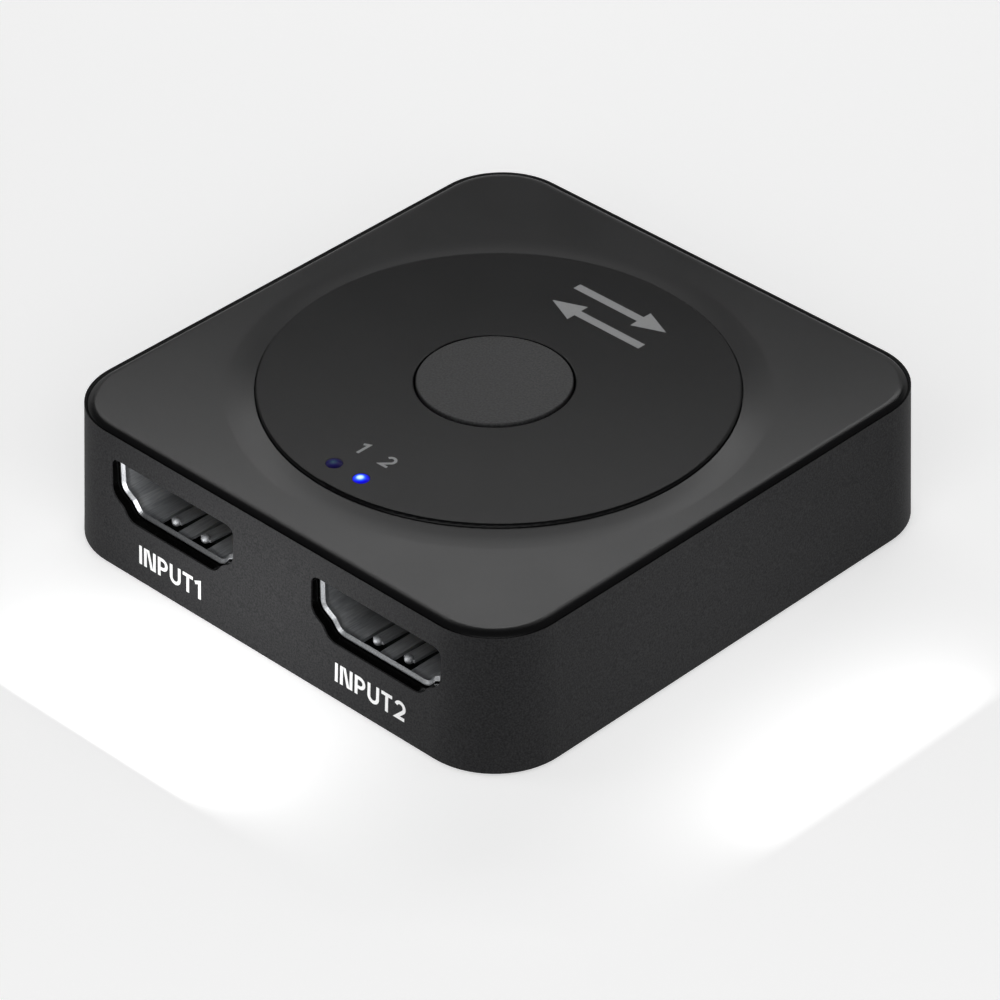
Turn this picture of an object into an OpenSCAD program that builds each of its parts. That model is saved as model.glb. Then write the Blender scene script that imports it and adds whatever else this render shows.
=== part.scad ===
// Two-way video switch box: a low rounded case with a raised round face, one push button,
// two input sockets on the front and one output socket on the back.
// Millimetres. X runs across the front, Y from front to back, Z up. The feet stand on Z = 0.

/* [Case] */
// Width of the case at its foot, side to side
body_w = 54.1; // [52:0.1:60]
// Depth of the case at its foot, front to back
body_d = 56.5; // [56.3:0.1:60]
// Height of case and cover together, feet not counted
body_h = 13.6; // [13.5:0.1:16]
// Radius of the upright corners at the foot
corner_r = 7.2; // [7:0.1:7.4]
// How far each side wall leans in from foot to top
lean = 0.62; // [0.5:0.02:0.9]
// Radius of the rounded top edge of the cover, which runs down to a slope of 45 degrees
edge_r = 1.2; // [1:0.05:1.25]
// Depth of the case's upper edge below the top of the cover
rim_drop = 0.22; // [0.2:0.02:0.3]
// How far the cover's edge stands in from the outer wall
cover_inset = 0.24; // [0.22:0.02:0.3]

/* [Face] */
// Radius of the round pocket in the cover
pocket_r = 21; // [20.4:0.05:21.4]
// Height of the face disc's surface above the top of the cover
disc_rise = 0.5; // [0.4:0.05:0.7]
// Thickness of the face disc
disc_t = 1.4; // [1.2:0.05:1.5]
// Rounding of the face disc's outer edge
disc_edge_r = 0.25; // [0.15:0.05:0.35]
// Height of the cover's soft swell at the pocket
swell_h = 0.2; // [0.1:0.05:0.3]

/* [Button] */
// Radius of the push button
button_r = 6.8; // [6.2:0.05:7]
// Middle of the push button, left of the centre line
button_x = -0.5; // [-0.8:0.1:0]
// Height of the button's top above the face disc's surface
button_proud = 0.14; // [0.1:0.02:0.3]
// Rounding of the button's top edge
button_edge_r = 0.15; // [0.1:0.05:0.4]

/* [Sockets] */
// Middle of the first input socket, left of the centre line
input_1_x = -11.5; // [-12.4:0.1:-11.4]
// Middle of the second input socket, right of the centre line
input_2_x = 12.8; // [11.6:0.1:13.2]
// How far a socket's metal rim lies behind the outer wall
setback = 0.95; // [0.7:0.05:1.1]

/* [Lights] */
// Middle of the pair of light pipes
light_mid_x = 0; // [-1:0.1:1]
// Distance between the two light pipes
light_pitch = 3.2; // [3:0.1:3.4]
// Position of the light pipes, towards the front
light_y = -18.2; // [-18.4:0.1:-17]
// Radius of a light pipe
light_r = 0.72; // [0.6:0.02:0.76]

/* [Feet] */
// Radius of a rubber foot
foot_r = 4; // [3:0.1:4.5]
// How far a foot stands out below the case
foot_proud = 0.5; // [0.3:0.05:0.8]

/* [Hidden] */
$fn = 96;
bite = 0.5;

// Case and cover levels
case_z = foot_proud;
top_z = case_z + body_h;
floor_t = 1.6;
floor_z = case_z + floor_t;
wall_t = 2.1;
foot_edge = 0.06;
groove_w = 0.45;
seam_gap = 0.1;
rim_z = top_z - rim_drop;
seam_z = rim_z - groove_w;
cap_z = seam_z + seam_gap;
edge_reach = edge_r * sin(45);
edge_fall = edge_r - edge_r * cos(45);
edge_z = top_z - edge_fall;
edge_low = edge_z - cap_z;
cover_t = 2.2;
cover_z = top_z - cover_t;
plug_clear = 0.15;
corner_x = body_w / 2 - corner_r;
corner_y = body_d / 2 - corner_r;
inner_r = corner_r - wall_t;
plug_r = inner_r - plug_clear;

// Circuit board
board_t = 1.6;
board_rise = 4.1;
board_z = case_z + board_rise;
board_top = board_z + board_t;
board_gap = 1.2;
board_r = inner_r - board_gap;
board_hx = corner_x + board_r;
notch_gap = 0.12;

// Sockets: the opening is the standard one, wide above and narrow below
mouth_half = 7;
mouth_h = 4.55;
mouth_low_half = 5.05;
mouth_mid_half = 5.75;
mouth_mid_z = 0.95;
mouth_side_z = 1.7;
mouth_round = 0.3;
mouth_low_round = 0.9;
mouth_bend = 0.55;
arc_steps = 5;
shell_t = 0.35;
shell_len = 12;
bevel_w = 0.25;
bevel_out = 0.2;
cut_gap = 0.14;
cut_past = 0.3;
socket_z = board_top + shell_t;
mouth_mid = socket_z + mouth_h / 2;
front_y = -(corner_y + wall_r(mouth_mid)) + setback;
leg_w = 1;
leg_len = 1.9;
leg_top = 2.2;
leg_1 = 6.9;
leg_2 = 10.6;
leg_slot_gap = 0.12;
finger_x = 1.8;
finger_w = 1.2;
finger_slot = 0.5;
finger_tip = 1.2;
finger_root = 5.2;
finger_lift = 0.2;
finger_t = 0.25;
finger_ball_r = 0.42;
fit_gap = 0.03;
block_start = 7.4;
tongue_half = 5.4;
tongue_t = 1.1;
tongue_low = 1.95;
tongue_start = 2.6;
contact_w = 0.3;
contact_t = 0.2;
contact_sink = 0.1;
contact_start = 3.1;
contact_pitch = 1;
tail_gap = 0.2;
tail_foot = 1.1;
upper_count = 10;
lower_count = 9;

// Case screws run up through a tube in the case into a boss of the cover. They stand at the side walls,
// behind the sockets, so that a narrower case still leaves the sockets free
tube_r = 2.1;
boss_r = 1.7;
boss_gap = 0.3;
tube_gap = 0.5;
screw_x = corner_x + inner_r - boss_gap - boss_r;
screw_y = -(front_y + shell_len) - tube_r - tube_gap;
split_rise = 0.3;
split_z = board_top + split_rise;
shank_r = 1;
shank_clear_r = 1.15;
pilot_r = 1.02;
head_r = 1.8;
head_t = 1.1;
head_edge = 0.3;
sink_r = 1.95;
sink_depth = 1.2;
sink_z = case_z + sink_depth;
screw_len = 8;
pilot_room = 0.6;
cross_w = 0.5;
cross_l = 2.2;
cross_depth = 0.6;

// Board screws and plain posts under the board
board_screw_edge = 3.9;
board_screw_step = 6.3;
board_screw_x = board_hx - board_screw_edge;
board_screw_y = screw_y + board_screw_step;
post_r = 2.2;
rest_post_r = 1.6;
rest_post_edge = 2.4;
rest_post_step = 8;
rest_post_x = board_hx - rest_post_edge;
rest_post_y = rest_post_step - screw_y;
board_screw_len = 3.6;
board_hole_r = 1.1;
board_head_t = 1.2;

// Feet
foot_inset = 3;
foot_x = corner_x - foot_inset;
foot_y = corner_y - foot_inset;
foot_sink = 0.7;
foot_gap = 0.1;
foot_round = 0.25;

// Face disc and its adhesive ring
tape_t = 0.1;
disc_gap = 0.1;
disc_lip_r = 0.2;
disc_r = pocket_r - disc_gap;
disc_top = top_z + disc_rise;
disc_z = disc_top - disc_t;
pocket_z = disc_z - tape_t;
tape_in_edge = 2.65;
tape_out_edge = 1.45;
tape_in_r = button_r + tape_in_edge;
tape_out_r = pocket_r - tape_out_edge;

// Swell of the cover round the pocket: a hollow arc that runs out into the flat top
swell_w = 3;
swell_sink = 0.004;
swell_ball_r = (swell_w * swell_w + swell_h * swell_h) / (2 * swell_h);

// Push button
button_gap = 0.12;
hole_r = button_r + button_gap;
button_top = disc_top + button_proud;
button_wall = 1.2;
button_roof = 1.15;
flange_step = 1.05;
flange_r = button_r + flange_step;
flange_t = 0.8;
flange_gap = 0.05;
flange_z = cover_z - flange_gap - flange_t;
stem_r = 1.9;

// Push switch under the button
switch_half = 3;
switch_base_h = 3.2;
frame_t = 0.3;
plunger_r = 1.75;
plunger_bore_r = 1.8;
plunger_h = 5;
plunger_rim_r = 2.15;
plunger_rim_t = 0.7;
plunger_rim_gap = 0.05;
well_r = 2.3;
well_floor = 0.8;
dome_r = 2.1;
dome_rise = 0.5;
dome_t = 0.1;
nub_r = 0.8;
switch_top = board_top + switch_base_h;
plunger_top = board_top + plunger_h;
well_z = board_top + well_floor;
dome_top = well_z + dome_rise;
dome_ball_r = (dome_r * dome_r + dome_rise * dome_rise) / (2 * dome_rise);
dome_ball_z = dome_top - dome_ball_r;
pin_in = 2.4;
pin_out = 3.4;
pin_t = 0.3;
pin_w = 0.7;
pin_y = 2.25;
pin_low = 0.2;
pin_drop = 0.4;
pin_hole_r = 0.55;
ear_w = 1.6;
ear_t = 0.2;
ear_h = 1.2;

// Lights on the board
led_l = 2;
led_w = 1.25;
led_base = 0.4;
led_lens_l = 1.2;
led_lens = 0.4;
led_top = board_top + led_base + led_lens;
pipe_gap = 0.3;
pipe_hole_gap = 0.04;
pipe_rim_r = 1.2;
pipe_rim_t = 0.5;
pipe_dome = 0.12;
pipe_ball_r = (light_r * light_r + pipe_dome * pipe_dome) / (2 * pipe_dome);

// Switching chip and small parts on the board
chip_x = 13;
chip_y = 1.5;
chip_half = 3.5;
chip_lift = 0.15;
chip_z = board_top + chip_lift;
chip_t = 1;
chip_mark_r = 0.4;
chip_mark_step = 2.5;
chip_mark_depth = 0.1;
lead_count = 12;
lead_pitch = 0.5;
lead_w = 0.22;
lead_t = 0.15;
lead_reach = 1;
lead_knee = 0.4;
lead_rise = 0.45;
guard_l = 2.5;
guard_w = 1;
guard_t = 0.5;
guard_step = 2.4;
guard_gap = 2;
guard_y = -(front_y + shell_len + tail_gap + tail_foot + guard_gap + guard_w / 2);
chip_part_l = 1.6;
chip_part_w = 0.8;
cap_t = 0.8;
res_t = 0.45;
cap_pitch = 2;
cap_row = 6.6;
res_pitch = 1.7;
res_x = -13;

// Corner radius of the outer wall at a height: the wall leans in evenly
function wall_r(z) = corner_r - lean * (z - case_z) / body_h;

// Points of a closed outline moved outward by a distance along both neighbouring sides
function side_normal(a, b) = [b[1] - a[1], a[0] - b[0]] / norm(b - a);
function grown(pts, d) = [
    for (i = [0 : len(pts) - 1])
        let (
            a = pts[(i + len(pts) - 1) % len(pts)],
            p = pts[i],
            b = pts[(i + 1) % len(pts)],
            m = side_normal(a, p),
            n = side_normal(p, b)
        )
        p + d * (m + n) / (1 + m * n)
];

// Arc that rounds the corner at p between the sides towards a and b
function turn_of(a, b) = (b - a > 180) ? b - a - 360 : (b - a < -180) ? b - a + 360 : b - a;
function corner_arc(a, p, b, r) =
    let (
        u = (a - p) / norm(a - p),
        v = (b - p) / norm(b - p),
        half = acos(u * v) / 2,
        c = p + (u + v) / norm(u + v) * r / sin(half),
        s = p + u * r / tan(half) - c,
        e = p + v * r / tan(half) - c,
        from = atan2(s[1], s[0]),
        turn = turn_of(from, atan2(e[1], e[0]))
    )
    [for (i = [0 : arc_steps]) c + r * [cos(from + turn * i / arc_steps), sin(from + turn * i / arc_steps)]];
function rounded(pts, radii) = [
    for (i = [0 : len(pts) - 1])
        each corner_arc(pts[(i + len(pts) - 1) % len(pts)], pts[i], pts[(i + 1) % len(pts)], radii[i])
];

// Socket mouth outline grown by d; outward corners gain radius, inward bends, marked minus, lose it
mouth_pts = [
    [-mouth_low_half, 0], [mouth_low_half, 0], [mouth_mid_half, mouth_mid_z],
    [mouth_half, mouth_side_z], [mouth_half, mouth_h], [-mouth_half, mouth_h],
    [-mouth_half, mouth_side_z], [-mouth_mid_half, mouth_mid_z]
];
mouth_radii = [
    mouth_low_round, mouth_low_round, -mouth_bend, mouth_low_round,
    mouth_round, mouth_round, mouth_low_round, -mouth_bend
];
function mouth_radius(r, d) = (r > 0) ? r + d : -r - d / 2;
function mouth(d) = rounded(grown(mouth_pts, d), [for (r = mouth_radii) mouth_radius(r, d)]);

// Sweep of a profile round the case outline: profile x runs outward from the corner centres
module quarter(sx, sy, turn) {
    translate([sx * corner_x, sy * corner_y, 0])
        rotate([0, 0, turn])
            rotate_extrude(angle = 90)
                children();
}
module side(ahead, along, turn) {
    rotate([0, 0, turn])
        translate([ahead, along, 0])
            rotate([90, 0, 0])
                linear_extrude(2 * along)
                    children();
}
module around() {
    quarter(1, 1, 0) children();
    quarter(-1, 1, 90) children();
    quarter(-1, -1, 180) children();
    quarter(1, -1, 270) children();
    side(corner_x, corner_y, 0) children();
    side(corner_y, corner_x, 90) children();
    side(corner_x, corner_y, 180) children();
    side(corner_y, corner_x, 270) children();
}
module core(low, high) {
    translate([-corner_x, -corner_y, low])
        cube([2 * corner_x, 2 * corner_y, high - low]);
}
module straight_block(r, low, high) {
    around()
        translate([0, low])
            square([r, high - low]);
    core(low, high);
}
module at_corners(x, y) {
    for (sx = [-1, 1], sy = [-1, 1])
        translate([sx * x, sy * y, 0])
            children();
}
module pillar(r, low, high) {
    translate([0, 0, low])
        cylinder(r = r, h = high - low);
}

// Prism of a mouth outline lying along Y, from start to end behind the socket's rim
module mouth_prism(d, start, end) {
    translate([0, front_y + end, socket_z])
        rotate([90, 0, 0])
            linear_extrude(end - start)
                polygon(mouth(d));
}
module at_input(x) {
    translate([x, 0, 0])
        children();
}
module at_output() {
    rotate([0, 0, 180])
        children();
}

// Lower case; its upper edge is bevelled inwards, so that a shadow groove runs round the cover
module case_block() {
    around()
        polygon([
            [0, case_z], [wall_r(case_z) - foot_edge, case_z],
            [wall_r(case_z + foot_edge), case_z + foot_edge],
            [wall_r(rim_z), rim_z], [wall_r(rim_z) - groove_w, seam_z], [0, seam_z]
        ]);
    core(case_z, seam_z);
}
module socket_cut() {
    wall_end = -(corner_y + inner_r) - front_y + cut_past;
    mouth_prism(shell_t + cut_gap, -setback - bite - lean, wall_end);
}
module bottom_case() {
    color("#2b2b2c")
        difference() {
            union() {
                difference() {
                    case_block();
                    straight_block(inner_r, floor_z, seam_z + bite);
                }
                at_corners(screw_x, screw_y)
                    pillar(tube_r, floor_z - bite, split_z);
                for (s = [-1, 1]) {
                    translate([s * board_screw_x, board_screw_y, 0])
                        pillar(post_r, floor_z - bite, board_z);
                    translate([s * rest_post_x, rest_post_y, 0])
                        pillar(rest_post_r, floor_z - bite, board_z);
                }
            }
            at_corners(screw_x, screw_y) {
                pillar(shank_clear_r, case_z, split_z + bite);
                pillar(sink_r, case_z - bite, sink_z);
            }
            at_corners(foot_x, foot_y)
                pillar(foot_r + foot_gap, case_z - bite, case_z + foot_sink);
            for (s = [-1, 1])
                translate([s * board_screw_x, board_screw_y, 0])
                    pillar(pilot_r, board_top - board_screw_len - bite / 2, board_z + bite);
            at_input(input_1_x) socket_cut();
            at_input(input_2_x) socket_cut();
            at_output() socket_cut();
        }
}

// Top cover with its rounded edge, undercut below it, the plug that drops into the case and four screw bosses
module cap_profile() {
    cap_r = wall_r(rim_z) - cover_inset;
    translate([0, cap_z])
        square([cap_r - edge_reach, top_z - cap_z]);
    intersection() {
        translate([cap_r - edge_reach, top_z - edge_r])
            circle(r = edge_r);
        translate([cap_r - edge_reach, top_z - edge_r])
            square([edge_r, edge_r]);
        polygon([
            [0, cap_z], [cap_r - edge_low, cap_z], [cap_r + edge_low, edge_z + edge_low],
            [cap_r + edge_low, top_z + bite], [0, top_z + bite]
        ]);
    }
}
module swell() {
    rotate_extrude()
        difference() {
            translate([pocket_r - bite, top_z - bite])
                square([swell_w + bite, swell_h + bite]);
            translate([pocket_r + swell_w, top_z + swell_ball_r - swell_sink])
                circle(r = swell_ball_r);
        }
}
module at_button() {
    translate([button_x, 0, 0])
        children();
}
module at_lights() {
    for (s = [-1, 1])
        translate([light_mid_x + s * light_pitch / 2, light_y, 0])
            children();
}
module top_cover() {
    color("#303031")
        difference() {
            union() {
                around() cap_profile();
                core(cap_z, top_z);
                swell();
                straight_block(plug_r, cover_z, cap_z);
                at_corners(screw_x, screw_y)
                    pillar(boss_r, split_z, cap_z);
            }
            pillar(pocket_r, pocket_z, top_z + swell_h + bite);
            at_button() pillar(hole_r, cover_z - bite, pocket_z + bite);
            at_lights()
                pillar(light_r + pipe_hole_gap, cover_z - bite, pocket_z + bite);
            at_corners(screw_x, screw_y)
                pillar(pilot_r, split_z - bite, sink_z + screw_len + pilot_room);
        }
}

// Round face panel that stands in the cover's pocket, rounded at its outer edge and at the button
module disc_profile() {
    translate([0, disc_z])
        square([disc_r, disc_t - disc_edge_r]);
    translate([0, disc_top - disc_edge_r])
        square([disc_r - disc_edge_r, disc_edge_r]);
    intersection() {
        translate([disc_r - disc_edge_r, disc_top - disc_edge_r])
            circle(r = disc_edge_r);
        translate([disc_r - disc_edge_r, disc_top - disc_edge_r])
            square([disc_edge_r, disc_edge_r]);
    }
}
module hole_profile() {
    translate([0, disc_z - bite])
        square([hole_r, disc_t + 2 * bite]);
    difference() {
        translate([hole_r - bite, disc_top - disc_lip_r])
            square([bite + disc_lip_r, disc_lip_r + bite]);
        translate([hole_r + disc_lip_r, disc_top - disc_lip_r])
            circle(r = disc_lip_r);
    }
}
module face_disc() {
    color("#262627")
        difference() {
            rotate_extrude()
                disc_profile();
            at_button()
                rotate_extrude()
                    hole_profile();
            at_lights()
                pillar(light_r + pipe_hole_gap, disc_z - bite, disc_top + bite);
        }
}
module disc_adhesive() {
    color("#c9c4b4")
        difference() {
            pillar(tape_out_r, pocket_z, disc_z);
            pillar(tape_in_r, pocket_z - bite, disc_z + bite);
            at_lights()
                pillar(light_r + disc_gap, pocket_z - bite, disc_z + bite);
        }
}

// Screws with a cross recess; the head's underside lies on z, the shank points up
module pan_screw(z, thick, long) {
    difference() {
        translate([0, 0, z - thick])
            rotate_extrude()
                polygon([
                    [0, 0], [head_r - head_edge, 0], [head_r, head_edge],
                    [head_r, thick], [shank_r, thick], [shank_r, thick + long], [0, thick + long]
                ]);
        for (turn = [0, 90])
            rotate([0, 0, turn])
                translate([-cross_l / 2, -cross_w / 2, z - thick - bite])
                    cube([cross_l, cross_w, cross_depth + bite]);
    }
}
module case_screws() {
    color("#8c8d90")
        at_corners(screw_x, screw_y)
            pan_screw(sink_z, head_t, screw_len);
}
module board_screws() {
    color("#8c8d90")
        for (s = [-1, 1])
            translate([s * board_screw_x, board_screw_y, 0])
                mirror([0, 0, 1])
                    pan_screw(-board_top, board_head_t, board_screw_len);
}
module rubber_feet() {
    color("#1d1d1e")
        at_corners(foot_x, foot_y)
            rotate_extrude()
                polygon([
                    [0, 0], [foot_r - foot_round, 0], [foot_r, foot_round],
                    [foot_r, foot_proud + foot_sink], [0, foot_proud + foot_sink]
                ]);
}

// Push button: a cup with a flange under the cover and a stem onto the switch
module button_profile() {
    translate([button_r - button_wall, flange_z])
        square([button_wall, button_top - button_edge_r - flange_z]);
    translate([0, button_top - button_roof])
        square([button_r - button_wall + button_edge_r, button_roof - button_edge_r]);
    translate([0, button_top - button_edge_r])
        square([button_r - button_edge_r, button_edge_r]);
    intersection() {
        translate([button_r - button_edge_r, button_top - button_edge_r])
            circle(r = button_edge_r);
        translate([button_r - button_edge_r, button_top - button_edge_r])
            square([button_edge_r, button_edge_r]);
    }
    translate([button_r - button_wall, flange_z])
        square([flange_r - button_r + button_wall, flange_t]);
}
module button_cap() {
    color("#2f2f30") {
        at_button()
            rotate_extrude()
                button_profile();
        pillar(stem_r, plunger_top, button_top - button_roof + bite);
    }
}

// Push switch
module terminal() {
    translate([0, pin_w / 2, 0])
        rotate([90, 0, 0])
            linear_extrude(pin_w)
                polygon([
                    [pin_in, board_top + pin_low], [pin_out - pin_t, board_top + pin_low],
                    [pin_out - pin_t, board_z - pin_drop], [pin_out, board_z - pin_drop],
                    [pin_out, board_top + pin_low + pin_t], [pin_in, board_top + pin_low + pin_t]
                ]);
}
module switch_terminals() {
    color("#b9b7ae")
        for (turn = [0, 180], s = [-1, 1])
            rotate([0, 0, turn])
                translate([0, s * pin_y, 0])
                    terminal();
}
module switch_base() {
    color("#1a1a1b")
        difference() {
            translate([-switch_half, -switch_half, board_top])
                cube([2 * switch_half, 2 * switch_half, switch_base_h]);
            pillar(well_r, well_z, switch_top + bite);
            switch_terminals();
        }
}
module switch_frame() {
    color("#b4b6b8")
        difference() {
            union() {
                translate([-switch_half, -switch_half, switch_top])
                    cube([2 * switch_half, 2 * switch_half, frame_t]);
                for (turn = [0, 180])
                    rotate([0, 0, turn])
                        translate([-ear_w / 2, switch_half, switch_top + frame_t - ear_h])
                            cube([ear_w, ear_t, ear_h]);
            }
            pillar(plunger_bore_r, switch_top - bite, switch_top + frame_t + bite);
        }
}
module switch_plunger() {
    rim_z = switch_top - plunger_rim_gap - plunger_rim_t;
    color("#3a3a3c")
        rotate_extrude()
            polygon([
                [0, dome_top], [nub_r, dome_top], [nub_r, rim_z], [plunger_rim_r, rim_z],
                [plunger_rim_r, rim_z + plunger_rim_t], [plunger_r, rim_z + plunger_rim_t],
                [plunger_r, plunger_top], [0, plunger_top]
            ]);
}
module switch_dome() {
    color("#c8c9ca")
        intersection() {
            difference() {
                translate([0, 0, dome_ball_z])
                    sphere(r = dome_ball_r);
                translate([0, 0, dome_ball_z])
                    sphere(r = dome_ball_r - dome_t);
            }
            pillar(dome_r + bite, well_z, dome_top + bite);
        }
}

// Circuit board with notches for the screw tubes, socket leg slots and drilled holes
module leg_slots() {
    for (s = [-1, 1], y = [leg_1, leg_2])
        translate([
            s * (mouth_half + shell_t / 2) - shell_t / 2 - leg_slot_gap,
            front_y + y - leg_w / 2 - leg_slot_gap, board_z - bite
        ])
            cube([shell_t + 2 * leg_slot_gap, leg_w + 2 * leg_slot_gap, board_t + 2 * bite]);
}
module circuit_board() {
    notch_half = tube_r + notch_gap;
    notch_w = board_hx + bite - screw_x + notch_half;
    color("#17472c")
        difference() {
            straight_block(board_r, board_z, board_top);
            at_corners(screw_x - notch_half + notch_w / 2, screw_y)
                translate([-notch_w / 2, -notch_half, board_z - bite])
                    cube([notch_w, 2 * notch_half, board_t + 2 * bite]);
            for (s = [-1, 1])
                translate([s * board_screw_x, board_screw_y, 0])
                    pillar(board_hole_r, board_z - bite, board_top + bite);
            at_corners(pin_out - pin_t / 2, pin_y)
                pillar(pin_hole_r, board_z - bite, board_top + bite);
            at_input(input_1_x) leg_slots();
            at_input(input_2_x) leg_slots();
            at_output() leg_slots();
        }
}

// Socket: folded metal shell with a bevelled rim, spring fingers and four legs, insulator with tongue,
// contacts
module finger_gap(x) {
    gap_w = finger_w + 2 * finger_slot;
    translate([x - gap_w / 2, front_y + finger_tip - finger_ball_r - finger_slot, board_top - bite])
        cube([gap_w, finger_root - finger_tip + finger_ball_r + finger_slot, shell_t + 2 * bite]);
}
module finger(x) {
    translate([x - finger_w / 2, front_y, socket_z])
        rotate([90, 0, 90])
            linear_extrude(finger_w)
                polygon([
                    [finger_root + finger_slot, -shell_t], [finger_root + finger_slot, 0],
                    [finger_root, 0], [finger_tip, finger_lift],
                    [finger_tip, finger_lift - finger_t], [finger_root, -shell_t]
                ]);
    translate([x, front_y + finger_tip, socket_z + finger_lift - finger_t / 2])
        sphere(r = finger_ball_r);
}
module mouth_void() {
    wide = mouth(bevel_w + bevel_out);
    n = len(wide);
    ring = [for (i = [0 : n - 1]) i];
    sections = [
        [wide, -bevel_out],
        [mouth(0), bevel_w],
        [mouth(0), shell_len + bite]
    ];
    last = len(sections) - 1;
    polyhedron(
        points = [for (s = sections, p = s[0]) [p[0], front_y + s[1], socket_z + p[1]]],
        faces = concat(
            [[for (i = ring) n - 1 - i], [for (i = ring) last * n + i]],
            [
                for (k = [0 : last - 1], i = ring)
                    [k * n + i, k * n + (i + 1) % n, k * n + n + (i + 1) % n, k * n + n + i]
            ]
        )
    );
}
module socket_shell() {
    color("#c4c6c9")
        union() {
            difference() {
                mouth_prism(shell_t, 0, shell_len);
                mouth_void();
                for (s = [-1, 1])
                    finger_gap(s * finger_x);
            }
            finger(-finger_x);
            finger(finger_x);
            for (s = [-1, 1], y = [leg_1, leg_2])
                translate([
                    s * (mouth_half + shell_t / 2) - shell_t / 2,
                    front_y + y - leg_w / 2, board_top - leg_len
                ])
                    cube([shell_t, leg_w, leg_len + leg_top + shell_t]);
        }
}
module contact(x, low, high) {
    back = front_y + shell_len;
    translate([x - contact_w / 2, 0, 0])
        rotate([90, 0, 90])
            linear_extrude(contact_w)
                polygon([
                    [front_y + contact_start, low], [back + tail_gap, low],
                    [back + tail_gap, board_top], [back + tail_gap + tail_foot, board_top],
                    [back + tail_gap + tail_foot, board_top + contact_t],
                    [back + tail_gap + contact_t, board_top + contact_t],
                    [back + tail_gap + contact_t, high], [front_y + contact_start, high]
                ]);
}
module socket_contacts() {
    tongue_z = socket_z + tongue_low;
    low_row = tongue_z + contact_sink - contact_t;
    high_row = tongue_z + tongue_t - contact_sink;
    color("#c9a54a")
        union() {
            for (i = [0 : upper_count - 1])
                contact((i - (upper_count - 1) / 2) * contact_pitch, high_row, high_row + contact_t);
            for (i = [0 : lower_count - 1])
                contact((i - (lower_count - 1) / 2) * contact_pitch, low_row, low_row + contact_t);
        }
}
module socket_insulator() {
    color("#151516")
        difference() {
            union() {
                mouth_prism(-fit_gap, block_start, shell_len);
                translate([-tongue_half, front_y + tongue_start, socket_z + tongue_low])
                    cube([2 * tongue_half, block_start - tongue_start + bite, tongue_t]);
            }
            socket_contacts();
        }
}
module input_1_shell() {
    at_input(input_1_x) socket_shell();
}
module input_1_insulator() {
    at_input(input_1_x) socket_insulator();
}
module input_1_contacts() {
    at_input(input_1_x) socket_contacts();
}
module input_2_shell() {
    at_input(input_2_x) socket_shell();
}
module input_2_insulator() {
    at_input(input_2_x) socket_insulator();
}
module input_2_contacts() {
    at_input(input_2_x) socket_contacts();
}
module output_shell() {
    at_output() socket_shell();
}
module output_insulator() {
    at_output() socket_insulator();
}
module output_contacts() {
    at_output() socket_contacts();
}

// Lights: a small lamp on the board and a clear pipe that carries its light to the face
module led() {
    color("#dfe3e8")
        union() {
            translate([-led_l / 2, -led_w / 2, board_top])
                cube([led_l, led_w, led_base]);
            translate([-led_lens_l / 2, -led_w / 2, board_top + led_base])
                cube([led_lens_l, led_w, led_lens]);
        }
}
module light_pipe() {
    color("#8fa9d8")
        union() {
            pillar(light_r, led_top + pipe_gap, disc_top);
            pillar(pipe_rim_r, cover_z - pipe_rim_t, cover_z);
            intersection() {
                translate([0, 0, disc_top + pipe_dome - pipe_ball_r])
                    sphere(r = pipe_ball_r);
                pillar(light_r, disc_top - bite, disc_top + bite);
            }
        }
}
module led_1() {
    translate([light_mid_x - light_pitch / 2, light_y, 0])
        rotate([0, 0, 90]) led();
}
module led_2() {
    translate([light_mid_x + light_pitch / 2, light_y, 0])
        rotate([0, 0, 90]) led();
}
module light_pipe_1() {
    translate([light_mid_x - light_pitch / 2, light_y, 0]) light_pipe();
}
module light_pipe_2() {
    translate([light_mid_x + light_pitch / 2, light_y, 0]) light_pipe();
}

// Switching chip with its leads, and the small parts round it
module switch_chip() {
    color("#202022")
        translate([chip_x, chip_y, 0])
            difference() {
                translate([-chip_half, -chip_half, chip_z])
                    cube([2 * chip_half, 2 * chip_half, chip_t]);
                translate([-chip_mark_step, chip_mark_step, 0])
                    pillar(chip_mark_r, chip_z + chip_t - chip_mark_depth, chip_z + chip_t + bite);
            }
}
module lead() {
    knee = chip_half + lead_knee;
    translate([0, lead_w / 2, board_top])
        rotate([90, 0, 0])
            linear_extrude(lead_w)
                polygon([
                    [chip_half, lead_rise], [knee - lead_t, lead_rise], [knee - lead_t, 0],
                    [chip_half + lead_reach, 0], [chip_half + lead_reach, lead_t],
                    [knee, lead_t], [knee, lead_rise + lead_t], [chip_half, lead_rise + lead_t]
                ]);
}
module chip_leads() {
    color("#b5b7ba")
        translate([chip_x, chip_y, 0])
            for (turn = [0, 90, 180, 270], i = [0 : lead_count - 1])
                rotate([0, 0, turn])
                    translate([0, (i - (lead_count - 1) / 2) * lead_pitch, 0])
                        lead();
}
module on_board(x, y, l, w, t) {
    translate([x - l / 2, y - w / 2, board_top])
        cube([l, w, t]);
}
module guard_arrays() {
    color("#232325")
        for (s = [-1, 1]) {
            on_board(input_1_x + s * guard_step, -guard_y, guard_l, guard_w, guard_t);
            on_board(input_2_x + s * guard_step, -guard_y, guard_l, guard_w, guard_t);
            on_board(s * guard_step, guard_y, guard_l, guard_w, guard_t);
        }
}
module capacitors() {
    color("#a8845c")
        for (i = [-1.5 : 1.5], s = [-1, 1])
            on_board(chip_x + i * cap_pitch, chip_y + s * cap_row, chip_part_w, chip_part_l, cap_t);
}
module resistors() {
    color("#2a2a2d")
        for (i = [-2.5 : 2.5])
            on_board(res_x, i * res_pitch, chip_part_l, chip_part_w, res_t);
}

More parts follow.
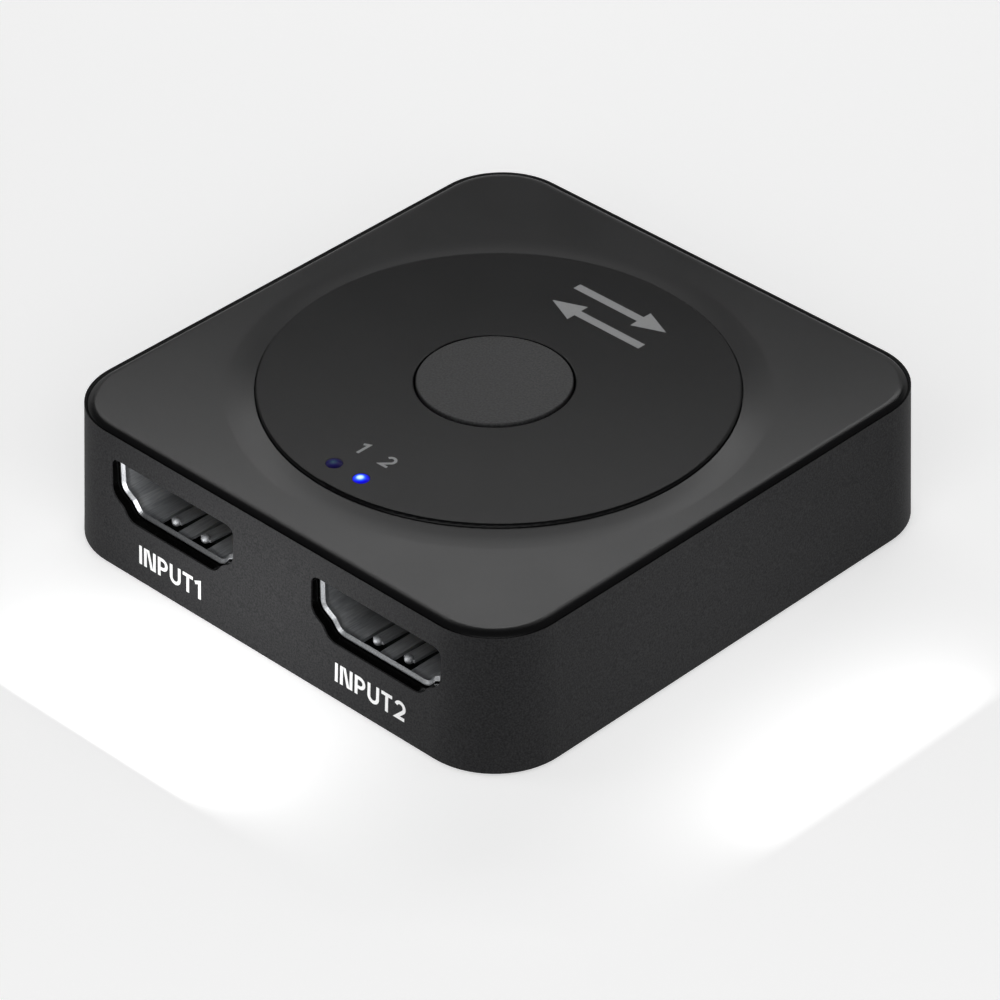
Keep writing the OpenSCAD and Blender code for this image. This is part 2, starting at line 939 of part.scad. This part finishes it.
bottom_case();
top_cover();
face_disc();
disc_adhesive();
case_screws();
rubber_feet();
button_cap();
switch_base();
switch_frame();
switch_plunger();
switch_dome();
switch_terminals();
circuit_board();
board_screws();
led_1();
led_2();
light_pipe_1();
light_pipe_2();
switch_chip();
chip_leads();
guard_arrays();
capacitors();
resistors();
input_1_shell();
input_1_insulator();
input_1_contacts();
input_2_shell();
input_2_insulator();
input_2_contacts();
output_shell();
output_insulator();
output_contacts();
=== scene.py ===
"""Dressed scene of a small two-way video switch box.

Lengths in the tables are millimetres, the meshes are metres, in the frame of the solids: X across the
front, Y from front to back, Z up from the floor.
"""

import bpy
import numpy as np
from mathutils import Matrix, Vector


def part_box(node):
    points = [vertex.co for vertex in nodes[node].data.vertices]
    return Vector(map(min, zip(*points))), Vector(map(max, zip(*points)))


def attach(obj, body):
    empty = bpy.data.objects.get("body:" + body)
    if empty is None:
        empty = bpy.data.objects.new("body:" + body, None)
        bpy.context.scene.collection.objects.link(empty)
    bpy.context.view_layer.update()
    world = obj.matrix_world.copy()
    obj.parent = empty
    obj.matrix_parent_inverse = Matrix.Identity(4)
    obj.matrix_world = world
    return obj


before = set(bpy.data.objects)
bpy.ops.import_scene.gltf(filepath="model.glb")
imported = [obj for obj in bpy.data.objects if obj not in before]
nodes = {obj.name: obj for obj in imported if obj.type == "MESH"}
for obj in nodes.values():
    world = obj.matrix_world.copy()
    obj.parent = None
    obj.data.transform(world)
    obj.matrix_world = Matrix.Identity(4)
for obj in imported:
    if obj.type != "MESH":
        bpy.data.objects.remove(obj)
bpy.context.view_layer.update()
MM = 0.001


# Camera at the photograph's angle, with its image taken as 1000 by 1000
CAMERA_TURN = np.radians(43.960)
CAMERA_RISE = np.radians(35.394)
CAMERA_AWAY = 440.07
CAMERA_AIM = np.array([1.555, -1.454, 3.808])
LENS, SENSOR = 182.81, 36.0


def view_axes(turn, rise):
    """Right, up and backward directions of a camera turned from the front and raised from the horizon."""
    back = np.array([np.sin(turn) * np.cos(rise), -np.cos(turn) * np.cos(rise), np.sin(rise)])
    right = np.array([np.cos(turn), np.sin(turn), 0.0])
    return right, np.cross(back, right), back


def facing(right, up, back, at):
    """Matrix of an object that stands at a place in millimetres and looks along minus back."""
    turned = Matrix(np.stack([right, up, back], axis=1).tolist()).to_4x4()
    turned.translation = Vector(at) * MM
    return turned


right, up, back = view_axes(CAMERA_TURN, CAMERA_RISE)
camera = bpy.data.objects.new("camera", bpy.data.cameras.new("camera"))
camera.data.lens, camera.data.sensor_width = LENS, SENSOR
camera.data.clip_start, camera.data.clip_end = 0.01, 20.0
camera.matrix_world = facing(right, up, back, CAMERA_AIM + back * CAMERA_AWAY)
bpy.context.scene.collection.objects.link(camera)
bpy.context.scene.camera = camera
bpy.context.scene.view_settings.view_transform = "Standard"


# Colour and nodes
def linear(hex_colour):
    """Linear RGBA of an sRGB hex value: the dark toe is a straight line, the rest a 2.4 power."""
    s = np.array([int(hex_colour[i:i + 2], 16) for i in (1, 3, 5)]) / 255
    rgb = np.where(s <= 0.04045, s / 12.92, ((s + 0.055) / 1.055) ** 2.4)
    return (*rgb.tolist(), 1.0)


def put(tree, kind, inputs=None, stops=None, **settings):
    """Adds one node and gives back its first output in use: settings are its own fields, inputs maps a
    socket's name or number to a value or to another node's output, stops are the colours of a ramp."""
    node = tree.nodes.new("ShaderNode" + kind)
    for name, value in settings.items():
        setattr(node, name, value)
    named = {socket.name: socket for socket in reversed(node.inputs) if socket.enabled}
    for key, value in (inputs or {}).items():
        socket = named[key] if isinstance(key, str) else node.inputs[key]
        if isinstance(value, bpy.types.NodeSocket):
            tree.links.new(value, socket)
        else:
            socket.default_value = value
    if stops:
        ramp = node.color_ramp.elements
        while len(ramp) < len(stops):
            ramp.new(1.0)
        for element, (place, colour) in zip(ramp, stops):
            element.position, element.color = place, linear(colour)
    return next((socket for socket in node.outputs if socket.enabled), None)


def new_finish(name):
    """An empty material: its node tree and the Object coordinates, which are the part's own metres."""
    material = bpy.data.materials.new(name)
    material.use_nodes = True
    tree = material.node_tree
    tree.nodes.clear()
    coords = tree.nodes.new("ShaderNodeTexCoord").outputs["Object"]
    return material, tree, coords


def close(tree, **sockets):
    """The shader and its output; the words of a socket's name are joined by underscores."""
    shader = put(tree, "BsdfPrincipled", {key.replace("_", " "): value for key, value in sockets.items()})
    put(tree, "OutputMaterial", {"Surface": shader})


# Finishes of the black mouldings
LEAN, BODY_HIGH = 0.62, 13.6
WALL_LEAN = LEAN / BODY_HIGH
WALL_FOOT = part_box("bottom_case")[1][1] / MM
CASE_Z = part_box("bottom_case")[0][2] / MM
OPENING_SIDE, OPENING_LOW, OPENING_IN, POLISHED_ROUGH = 20.6, 2.9, 0.15, 0.22
CASE_PATCH, COVER_PATCH, COVER_GRAIN, COVER_DEEP = 9.0, 7.0, 0.12, 0.001
CASE_SPREAD, COVER_SPREAD = 0.03, 0.02


def in_openings(tree, coords):
    """One on the walls of the socket openings, zero elsewhere: X between the corners, Z over the openings'
    lower edge, and Y behind the outer wall, which leans in as it rises."""
    split = tree.nodes.new("ShaderNodeSeparateXYZ")
    tree.links.new(coords, split.inputs[0])
    reach = [put(tree, "Math", {0: split.outputs[axis]}, operation="ABSOLUTE") for axis in ("X", "Y")]
    lean = put(tree, "Math", {0: split.outputs["Z"], 1: WALL_LEAN, 2: reach[1]}, operation="MULTIPLY_ADD")
    deep = (WALL_FOOT + WALL_LEAN * CASE_Z - OPENING_IN) * MM
    masks = [put(tree, "Math", {0: reach[0], 1: OPENING_SIDE * MM}, operation="LESS_THAN"),
             put(tree, "Math", {0: split.outputs["Z"], 1: OPENING_LOW * MM}, operation="GREATER_THAN"),
             put(tree, "Math", {0: lean, 1: deep}, operation="LESS_THAN")]
    both = put(tree, "Math", {0: masks[0], 1: masks[1]}, operation="MULTIPLY")
    return put(tree, "Math", {0: both, 1: masks[2]}, operation="MULTIPLY")


def spark_eroded(name, dark, pale, size, deep, rough, specular, gloss_and_painted_shade=None):
    """ABS moulded against spark-eroded steel: fine even pits break the gloss into a soft grey bloom. The
    real pits are about 0.08 mm wide, and are drawn twice as wide so that they show. The walls of the socket
    openings are glossy, from mirror-finished inserts in the tool, and behind the outer face their colour is
    painted shade in deep black."""
    material, tree, coords = new_finish(name)
    pits = put(tree, "TexNoise", {"Vector": coords, "Scale": 1 / (size * MM), "Detail": 2.0})
    patch = put(tree, "TexNoise", {"Vector": coords, "Scale": 1 / (CASE_PATCH * MM), "Detail": 2.0})
    tint = put(tree, "ValToRGB", {"Fac": pits}, ((0.3, dark), (0.7, pale)))
    gloss = put(tree, "MapRange", {"Value": patch, "To Min": rough - CASE_SPREAD,
                                   "To Max": rough + CASE_SPREAD})
    strength = 1.0
    # Painted shade: the walls of the socket openings are painted deep black and made glossy
    if gloss_and_painted_shade:
        inside = in_openings(tree, coords)
        tint = put(tree, "Mix", {"Factor": inside, "A": tint, "B": linear(gloss_and_painted_shade)}, data_type="RGBA")
        gloss = put(tree, "Mix", {"Factor": inside, "A": gloss, "B": POLISHED_ROUGH})
        strength = put(tree, "Math", {0: 1.0, 1: inside}, operation="SUBTRACT")
    dents = put(tree, "Bump", {"Height": pits, "Distance": deep * MM, "Strength": strength})
    close(tree, Base_Color=tint, Normal=dents, Roughness=gloss, Specular_IOR_Level=specular)
    return material


def blasted(name, dark, pale, rough, specular):
    """ABS moulded against a fine blasted steel: deep black with a broad soft reflection."""
    material, tree, coords = new_finish(name)
    fine = put(tree, "TexNoise", {"Vector": coords, "Scale": 1 / (COVER_GRAIN * MM), "Detail": 2.0})
    patch = put(tree, "TexNoise", {"Vector": coords, "Scale": 1 / (COVER_PATCH * MM), "Detail": 2.0})
    tint = put(tree, "ValToRGB", {"Fac": patch}, ((0.3, dark), (0.7, pale)))
    dents = put(tree, "Bump", {"Height": fine, "Distance": COVER_DEEP * MM})
    gloss = put(tree, "MapRange", {"Value": patch, "To Min": rough - COVER_SPREAD,
                                   "To Max": rough + COVER_SPREAD})
    close(tree, Base_Color=tint, Normal=dents, Roughness=gloss, Specular_IOR_Level=specular)
    return material


# Finishes of the metals and the small mouldings
MOUTH_IN = 0.25
MOUTH_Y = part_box("output_shell")[1][1] / MM - MOUTH_IN
# Socket shells: from the mouth inwards the colour darkens with painted shade, and the finish turns rougher
SHADE_FADE_BY, INNER_SHARE, INNER_ROUGH = 6.5, 0.1, 0.66
LINE_DEEP, MOTTLE_DEEP, SMALL_SPREAD = 0.0015, 0.004, 0.05
TIP_R = 0.72
# Shift of the tips' ring middle, which places the painted glint
GLINT_SHIFT = (-0.1, -0.02)


def plated(name, dark, pale, rough, along=(1.0, 0.08, 1.0), line=0.12, painted_inner_shade=None):
    """Rolled and plated sheet: fine drawn lines along the strip, bright where the roll has burnished it. From
    the mouth of a deep socket inwards the sheet turns to a darker colour, which is painted shade, and to a
    rougher finish."""
    material, tree, coords = new_finish(name)
    stretched = put(tree, "Mapping", {"Vector": coords, "Scale": along})
    lines = put(tree, "TexNoise", {"Vector": stretched, "Scale": 1 / (line * MM), "Detail": 2.0})
    tint = put(tree, "ValToRGB", {"Fac": lines}, ((0.35, dark), (0.65, pale)))
    dents = put(tree, "Bump", {"Height": lines, "Distance": LINE_DEEP * MM})
    gloss = put(tree, "MapRange", {"Value": lines, "To Min": rough - SMALL_SPREAD,
                                   "To Max": rough + SMALL_SPREAD})
    # Painted shade: the colour darkens from the mouth into the deep socket
    if painted_inner_shade:
        split = tree.nodes.new("ShaderNodeSeparateXYZ")
        tree.links.new(coords, split.inputs[0])
        reach = put(tree, "Math", {0: split.outputs["Y"]}, operation="ABSOLUTE")
        shade_share = put(tree, "MapRange", {"Value": reach, "From Min": MOUTH_Y * MM,
                                      "From Max": (MOUTH_Y - SHADE_FADE_BY) * MM})
        tint = put(tree, "Mix", {"Factor": shade_share, "A": tint, "B": linear(painted_inner_shade)}, data_type="RGBA")
        gloss = put(tree, "MapRange", {"Value": shade_share, "From Max": INNER_SHARE, "To Min": rough,
                                       "To Max": INNER_ROUGH})
    close(tree, Base_Color=tint, Metallic=1.0, Normal=dents, Roughness=gloss)
    return material


def moulded(name, dark, pale, rough, size=0.3):
    """Small moulded or printed body: an even matt skin with faint mottling."""
    material, tree, coords = new_finish(name)
    mottle = put(tree, "TexNoise", {"Vector": coords, "Scale": 1 / (size * MM), "Detail": 2.0})
    tint = put(tree, "ValToRGB", {"Fac": mottle}, ((0.3, dark), (0.7, pale)))
    dents = put(tree, "Bump", {"Height": mottle, "Distance": MOTTLE_DEEP * MM})
    gloss = put(tree, "MapRange", {"Value": mottle, "To Min": rough - SMALL_SPREAD,
                                   "To Max": rough + SMALL_SPREAD})
    close(tree, Base_Color=tint, Normal=dents, Roughness=gloss)
    return material


def light_tip(name, node, base, glow, stops):
    """Clear acrylic rod end over a lamp: rings of glowing colour round a middle set a little off the rod's
    axis, the distance from it as a share of the tip's radius, under a smooth glossy skin. On the lit tip the
    glow is the lamp's light with a painted glint at its white core; on the unlit tip the glow is a painted
    glint."""
    material, tree, coords = new_finish(name)
    low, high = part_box(node)
    middle = [(low[axis] + high[axis]) / 2 + GLINT_SHIFT[axis] * MM for axis in (0, 1)]
    moved = put(tree, "Mapping", {"Vector": coords, "Location": (-middle[0], -middle[1], 0.0)})
    split = tree.nodes.new("ShaderNodeSeparateXYZ")
    tree.links.new(moved, split.inputs[0])
    flat = put(tree, "CombineXYZ", {"X": split.outputs["X"], "Y": split.outputs["Y"]})
    away = put(tree, "VectorMath", {0: flat, 1: (0.0, 0.0, 0.0)}, operation="DISTANCE")
    share = put(tree, "MapRange", {"Value": away, "From Max": TIP_R * MM})
    # Emission rings: the lamp's glow with a painted glint on the lit tip, a painted glint alone on the unlit
    # tip
    rings = put(tree, "ValToRGB", {"Fac": share}, stops)
    close(tree, Base_Color=linear(base), Roughness=0.2, Specular_IOR_Level=0.05, Emission_Color=rings,
          Emission_Strength=glow)
    return material


# The last colour is painted shade on the walls of the socket openings
case_plastic = spark_eroded("abs_spark_eroded", "#242425", "#373738", 0.16, 0.012, 0.55, 0.06, "#050505")
button_plastic = spark_eroded("abs_spark_eroded_fine", "#222223", "#3c3c3d", 0.18, 0.025, 0.38, 0.28)
cover_plastic = blasted("abs_blasted_satin", "#0f0f10", "#131314", 0.24, 0.31)
disc_plastic = blasted("polycarbonate_silk", "#0c0c0d", "#0f0f10", 0.26, 0.14)
# The shells' inner colour is painted shade of the deep sockets
shell_metal = plated("steel_nickel_plated", "#b0b2b5", "#c8cacc", 0.34, painted_inner_shade="#606265")
screw_steel = plated("steel_zinc_plated", "#85878b", "#a3a5a9", 0.34, (1.0, 1.0, 1.0), 0.2)
spring_steel = plated("steel_spring_rolled", "#b6b8ba", "#cfd0d2", 0.25)
tinned_metal = plated("copper_tin_plated", "#aeada8", "#c4c2bb", 0.38)
contact_gold = plated("bronze_gold_plated", "#b58f38", "#dcbc62", 0.25)
foot_rubber = moulded("rubber_moulded", "#151516", "#202021", 0.78)
insulator_plastic = moulded("lcp_moulded", "#0d0d0e", "#161617", 0.5)
switch_plastic = moulded("nylon_moulded", "#161617", "#222223", 0.5)
chip_plastic = moulded("epoxy_moulded", "#1b1b1c", "#262628", 0.6)
capacitor_body = moulded("ceramic_fired", "#937352", "#b48f66", 0.55)
resistor_body = moulded("alumina_glazed", "#1e1e20", "#2a2a2d", 0.3)
tape_foam = moulded("acrylic_tape", "#bdb7a6", "#d2ccbc", 0.8)
lamp_resin = moulded("silicone_clear_cast", "#cdd3da", "#eef1f4", 0.25)
board_resin = moulded("glass_epoxy_solder_resist", "#0b0f0d", "#131815", 0.4, 0.6)

# The unlit tip's glow is a painted glint; the lit tip's white core is a painted glint on the lamp's glow
pipe_dark = light_tip("acrylic_unlit_painted_glint", "light_pipe_1", "#0b0a20", 0.8,
                      ((0.0, "#35505c"), (0.3, "#1b3450"), (0.6, "#140c48"), (1.0, "#0c0630")))
pipe_lit = light_tip("acrylic_lit_painted_glint", "light_pipe_2", "#0808a0", 1.0,
                     ((0.0, "#ffffff"), (0.3, "#c8f4ff"), (0.55, "#2a6cff"), (0.8, "#1510e0"),
                      (1.0, "#0c06a8")))

DRESS = {
    "bottom_case": case_plastic, "top_cover": cover_plastic, "face_disc": disc_plastic,
    "disc_adhesive": tape_foam, "case_screws": screw_steel, "rubber_feet": foot_rubber,
    "button_cap": button_plastic, "switch_base": switch_plastic, "switch_frame": spring_steel,
    "switch_plunger": switch_plastic, "switch_dome": spring_steel, "switch_terminals": tinned_metal,
    "circuit_board": board_resin, "board_screws": screw_steel, "led_1": lamp_resin, "led_2": lamp_resin,
    "light_pipe_1": pipe_dark, "light_pipe_2": pipe_lit, "switch_chip": chip_plastic,
    "chip_leads": tinned_metal, "guard_arrays": chip_plastic, "capacitors": capacitor_body,
    "resistors": resistor_body,
}
for socket in ("input_1", "input_2", "output"):
    DRESS[socket + "_shell"] = shell_metal
    DRESS[socket + "_insulator"] = insulator_plastic
    DRESS[socket + "_contacts"] = contact_gold
for name, material in DRESS.items():
    nodes[name].data.materials.clear()
    nodes[name].data.materials.append(material)


# Printed marks: closed plates of ink a few hundredths of a millimetre thick, on the face and on the front wall
INK = 0.02
FACE_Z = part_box("face_disc")[1][2] / MM
ACROSS, AWAY = np.array([1.0, 0.0, 0.0]), np.array([0.0, 1.0, 0.0])
UP_WALL = np.array([0.0, WALL_LEAN, 1.0]) / np.hypot(1.0, WALL_LEAN)


def solid(rings):
    """A closed surface through rings of points in millimetres: each ring is joined to the next one point by
    point, the first and last rings are filled, and the faces are turned so that the volume, a sixth of the
    sum of each triangle's triple product, is positive."""
    count, size = rings.shape[:2]
    points = rings.reshape(-1, 3)
    index = np.arange(count * size).reshape(count, size)
    after = np.roll(index, -1, axis=1)
    walls = np.stack([index[:-1], after[:-1], after[1:], index[1:]], axis=-1).reshape(-1, 4)
    faces = np.vstack([walls, index[:1, ::-1], index[-1:]])
    a, b, c, d = (points[faces[:, corner]] for corner in range(4))
    if np.sum(a * np.cross(b, c)) + np.sum(a * np.cross(c, d)) < 0:
        faces = faces[:, ::-1]
    return points, faces


def piece(name, rings, material, body):
    """One object of several closed surfaces, at the origin, in metres."""
    solids = [solid(one) for one in rings]
    starts = np.cumsum([0] + [len(points) for points, _ in solids[:-1]])
    mesh = bpy.data.meshes.new(name)
    mesh.from_pydata((np.concatenate([points for points, _ in solids]) * MM).tolist(), [],
                     np.concatenate([faces + start for (_, faces), start in zip(solids, starts)]).tolist())
    mesh.materials.append(material)
    made = bpy.data.objects.new(name, mesh)
    bpy.context.scene.collection.objects.link(made)
    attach(made, body)


def ribbon(path, half, across=None):
    """Left and right borders of a stroke along a path: at a bend they meet on the mitre, which is the sum of
    the two sides' normals over one plus their product; across gives a fixed direction instead."""
    path = np.asarray(path, float)
    along = np.diff(path, axis=0)
    along /= np.linalg.norm(along, axis=1, keepdims=True)
    normal = np.stack([-along[:, 1], along[:, 0]], axis=1)
    before, after = np.vstack([normal[:1], normal]), np.vstack([normal, normal[-1:]])
    reach = (before + after) / (1 + np.sum(before * after, axis=1, keepdims=True))
    if across is not None:
        reach = np.tile(np.asarray(across, float), (len(path), 1))
    reach = reach * np.broadcast_to(half, len(path))[:, None]
    return path + reach, path - reach


def plate(borders, base, right, up):
    """Ink between two borders: four points a ring, the under side sunk into the surface as deep as the upper
    side stands over it."""
    left, other = (base + side[:, :1] * right + side[:, 1:] * up for side in borders)
    proud = np.cross(right, up) * INK
    return np.stack([left - proud, other - proud, other + proud, left + proud], axis=1)


def arc(middle, radius, start, end, steps=14):
    """Points of a round stretch, angles in degrees."""
    turn = np.radians(np.linspace(start, end, steps))
    return np.stack([middle[0] + radius * np.cos(turn), middle[1] + radius * np.sin(turn)], axis=1)


def strokes(sign, high, half):
    """Strokes of a plain sign of a given height, as pairs of borders, and the width that it takes up."""
    top, mid = high - half, 0.42 * high
    if sign == "I":
        return [ribbon([(half, 0), (half, high)], half)], 2 * half
    if sign == "N":
        wide, lean = 0.78 * high, 0.95 * half
        return [ribbon([(half, 0), (half, high)], half), ribbon([(wide - half, 0), (wide - half, high)], half),
                ribbon([(2 * half + lean, high), (wide - 2 * half - lean, 0)], lean, (1, 0))], wide
    if sign == "P":
        bowl = (top - mid) / 2
        round_x = 0.32 * high
        path = np.vstack([[(half, 0), (half, top)], arc((round_x, top - bowl), bowl, 90, -90),
                          [(2 * half, mid)]])
        return [ribbon(path, half)], round_x + bowl + half
    if sign == "U":
        round_r = 0.27 * high
        path = np.vstack([[(half, high)], arc((half + round_r, half + round_r), round_r, 180, 360),
                          [(half + 2 * round_r, high)]])
        return [ribbon(path, half)], 2 * (half + round_r)
    if sign == "T":
        wide = 0.66 * high
        return [ribbon([(0, top), (wide, top)], half),
                ribbon([(wide / 2, 0), (wide / 2, high - 2 * half)], half)], wide
    if sign == "1":
        flag = 0.3 * high
        return [ribbon([(0, 0.78 * high), (flag, top), (flag, 0)], half)], flag + half
    bend = 0.26 * high
    path = np.vstack([arc((bend + half, top - bend), bend, 160, -35), [(1.6 * half, half), (2.4 * bend, half)]])
    return [ribbon(path, half)], 2 * (bend + half)


def line_of(text, high, half, space):
    """Borders of a line of signs set side by side from zero on, and its width."""
    borders, x = [], 0.0
    for sign in text:
        made, wide = strokes(sign, high, half)
        borders += [[side + (x, 0) for side in pair] for pair in made]
        x += wide + space
    return borders, x - space


white_ink = moulded("ink_screen_printed_white", "#f4f4f4", "#fbfbfb", 0.6, 0.15)
silver_ink = moulded("ink_pad_printed_silver", "#a4a5a6", "#adaeaf", 0.5, 0.15)

LABEL_Z, LABEL_HIGH, LABEL_HALF, LABEL_SPACE = 2.4, 1.87, 0.165, 0.27
for number, middle in (("1", -11.75), ("2", 12.4)):
    borders, wide = line_of("INPUT" + number, LABEL_HIGH, LABEL_HALF, LABEL_SPACE)
    foot = np.array([middle - wide / 2, -WALL_FOOT + WALL_LEAN * (LABEL_Z - CASE_Z), LABEL_Z])
    rings = [plate(pair, foot, ACROSS, UP_WALL) for pair in borders]
    piece("label_input_" + number, rings, white_ink, "housing")

NUMERAL_HIGH, NUMERAL_HALF = 1.62, 0.13
rings = []
for number, middle in (("1", (-1.48, -14.98)), ("2", (1.56, -14.91))):
    borders, wide = line_of(number, NUMERAL_HIGH, NUMERAL_HALF, 0.0)
    foot = np.array([middle[0] - wide / 2, middle[1] - NUMERAL_HIGH / 2, FACE_Z])
    rings += [plate(pair, foot, ACROSS, AWAY) for pair in borders]
piece("numerals", rings, silver_ink, "housing")

ARROW_LONG, ARROW_HEAD, ARROW_STEP, ARROW_MIDDLE = 10.6, 3.0, 1.55, (-0.3, 14.2)
SHAFT_HALF, HEAD_HALF, TIP_HALF = 0.42, 1.3, 0.02
rings = []
for way in (1, -1):
    neck = ARROW_LONG / 2 - ARROW_HEAD
    reach = way * np.array([-ARROW_LONG / 2, neck, neck + TIP_HALF, ARROW_LONG / 2])
    half = np.array([SHAFT_HALF, SHAFT_HALF, HEAD_HALF, TIP_HALF])
    foot = np.array([ARROW_MIDDLE[0], ARROW_MIDDLE[1] + way * ARROW_STEP, FACE_Z])
    pair = ribbon(np.stack([reach, np.zeros(len(reach))], axis=1), half, (0, 1))
    rings.append(plate(pair, foot, ACROSS, AWAY))
piece("swap_arrows", rings, silver_ink, "housing")


# Studio: floor, world and soft boxes
FLOOR_HALF, FLOOR_LIFT = 3000.0, 0.5
WORLD_LOW, WORLD_HIGH = 0.45, 0.06
SQUARE_FRONT = -np.degrees(CAMERA_TURN)
WALL_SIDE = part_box("bottom_case")[1][0] / MM
BAND_START, BAND_END = 0.33, 0.48


def studio_floor():
    """Pale paper floor, which glows a little where the camera or a mirror sees it."""
    mesh = bpy.data.meshes.new("floor")
    sides = ((-1, -1), (1, -1), (1, 1), (-1, 1))
    mesh.from_pydata([(x * FLOOR_HALF * MM, y * FLOOR_HALF * MM, 0) for x, y in sides], [], [(0, 1, 2, 3)])
    floor = bpy.data.objects.new("floor", mesh)
    bpy.context.scene.collection.objects.link(floor)
    material, tree, _ = new_finish("paper_matt")
    path = tree.nodes.new("ShaderNodeLightPath").outputs
    seen = put(tree, "Math", {0: path["Is Camera Ray"], 1: path["Is Glossy Ray"]}, operation="MAXIMUM")
    seen = put(tree, "Math", {0: seen, 1: path["Is Transmission Ray"]}, operation="MAXIMUM")
    lift = put(tree, "Math", {0: seen, 1: FLOOR_LIFT}, operation="MULTIPLY")
    paper = put(tree, "BsdfDiffuse", {"Color": linear("#e8e8e8")})
    glow = put(tree, "Emission", {"Strength": lift})
    put(tree, "OutputMaterial", {"Surface": put(tree, "AddShader", {0: paper, 1: glow})})
    mesh.materials.append(material)


def studio_world():
    """Grey room: pale up to some way over the horizon, dim above that; Z of the sight line is the sine of
    its elevation."""
    world = bpy.data.worlds.new("studio")
    bpy.context.scene.world = world
    world.use_nodes = True
    tree = world.node_tree
    tree.nodes.clear()
    sight = put(tree, "TexCoord")
    split = tree.nodes.new("ShaderNodeSeparateXYZ")
    tree.links.new(sight, split.inputs[0])
    shade = put(tree, "MapRange", {"Value": split.outputs["Z"], "From Min": BAND_START, "From Max": BAND_END,
                                   "To Min": WORLD_LOW, "To Max": WORLD_HIGH})
    put(tree, "OutputWorld", {"Surface": put(tree, "Background", {"Strength": shade})})


def soft_box(name, turn, rise, away, wide, tall, white, aim=(0.0, 0.0, 6.0)):
    """A glowing sheet round the object, turned from the camera's side and raised, white times paper white."""
    across, high, out = view_axes(CAMERA_TURN + np.radians(turn), np.radians(rise))
    lamp = bpy.data.lights.new(name, "AREA")
    lamp.shape, lamp.size, lamp.size_y = "RECTANGLE", wide * MM, tall * MM
    lamp.energy = white * np.pi * wide * tall * MM * MM
    box = bpy.data.objects.new(name, lamp)
    box.matrix_world = facing(across, high, out, np.array(aim) + out * away)
    box.visible_camera = False
    bpy.context.scene.collection.objects.link(box)


studio_floor()
studio_world()
soft_box("far_edge", 174, 40.5, 300, 300, 16, 6.6)
soft_box("far_box", 180, 50, 300, 300, 80, 1.3)
soft_box("far_low", 180, 24, 300, 420, 60, 0.3)
soft_box("front_box", 0, 40, 400, 500, 240, 1.9)
soft_box("front_strip", SQUARE_FRONT, 5, 17, 23, 14, 4.0, (-3.0, -WALL_FOOT, 7.0))
soft_box("right_strip", SQUARE_FRONT + 90, 5, 20, 28, 14, 1.25, (WALL_SIDE, -3.0, 7.0))
